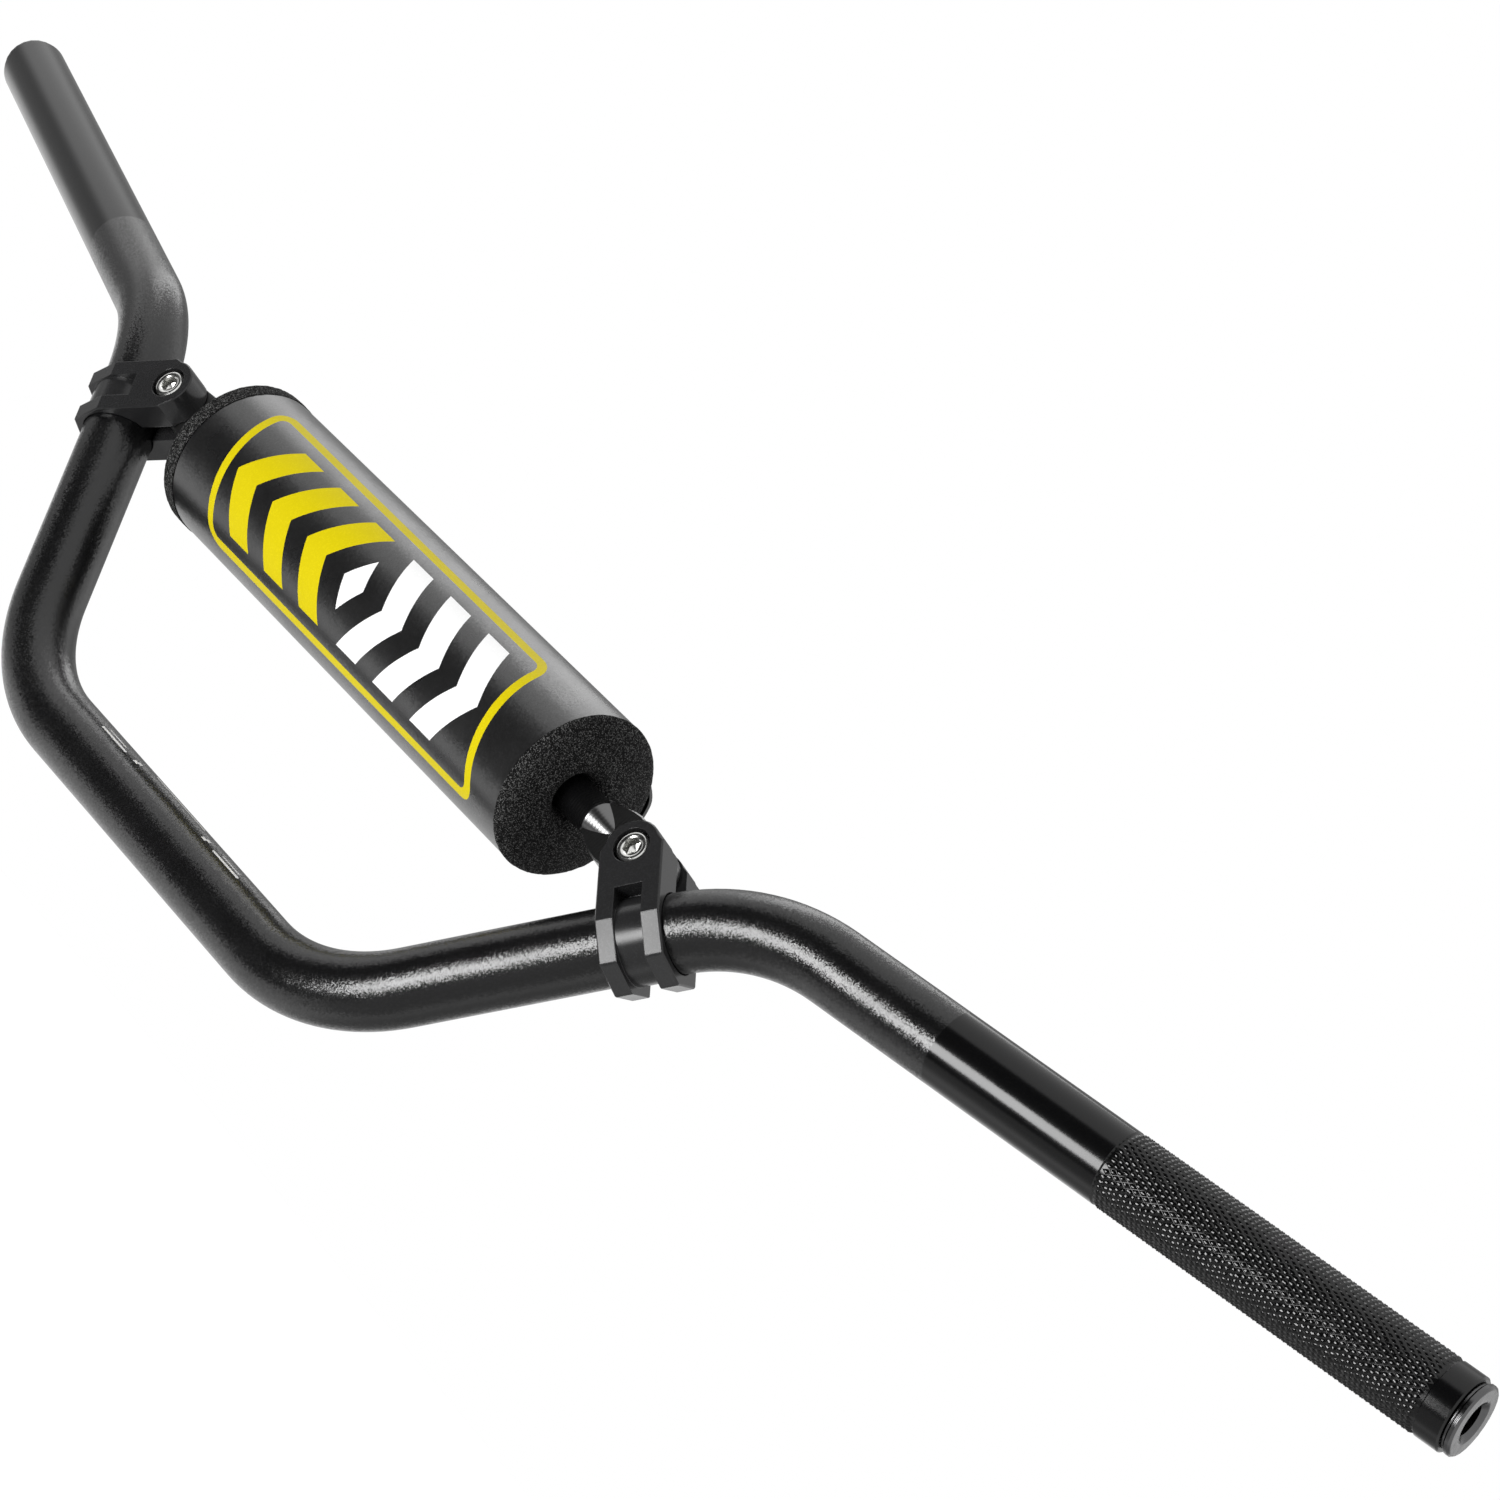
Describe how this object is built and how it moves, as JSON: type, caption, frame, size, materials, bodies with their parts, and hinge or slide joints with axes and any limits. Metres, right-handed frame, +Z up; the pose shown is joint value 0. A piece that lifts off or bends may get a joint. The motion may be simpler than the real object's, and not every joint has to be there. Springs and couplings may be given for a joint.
{
  "type": "motocross handlebar",
  "caption": "Bent alloy motocross handlebar with a round crossbar clamped between its uprights, a covered foam pad on the crossbar, a knurled left grip end and plugged bar ends.",
  "frame": {"origin": "middle of the stem clamp zone, on the axis of the tube's centre section", "axes": "+X to the rider's left along the centre section, -Y forwards (bolt heads and the pad's printed face look that way), +Z up"},
  "size_m": [0.8112, 0.0905, 0.1685],
  "materials": {
    "satin_black_alloy": "satin black anodised, bead-blasted between the grips",
    "black_anodised_clamp": "machined and satin black anodised",
    "gloss_black_rod": "turned and gloss black anodised",
    "zinc_bolt_steel": "bright zinc plated",
    "dark_grey_insert": "turned, dark grey anodised",
    "black_foam": "closed-cell foam, rough and matt",
    "black_cover": "coated fabric, satin black with yellow and white print",
    "closure_tape": "woven hook-and-loop tape"
  },
  "bodies": {
    "root": {"handlebar_tube": "satin_black_alloy", "crossbar": "gloss_black_rod", "left_end_insert": "dark_grey_insert", "right_end_insert": "dark_grey_insert", "left_clamp": "black_anodised_clamp", "right_clamp": "black_anodised_clamp", "left_clamp_bolt": "zinc_bolt_steel", "right_clamp_bolt": "zinc_bolt_steel", "pad_foam": "black_foam", "pad_cover": "black_cover", "closure_loop_strip": "closure_tape", "closure_hook_strip": "closure_tape"}
  },
  "joints": []
}
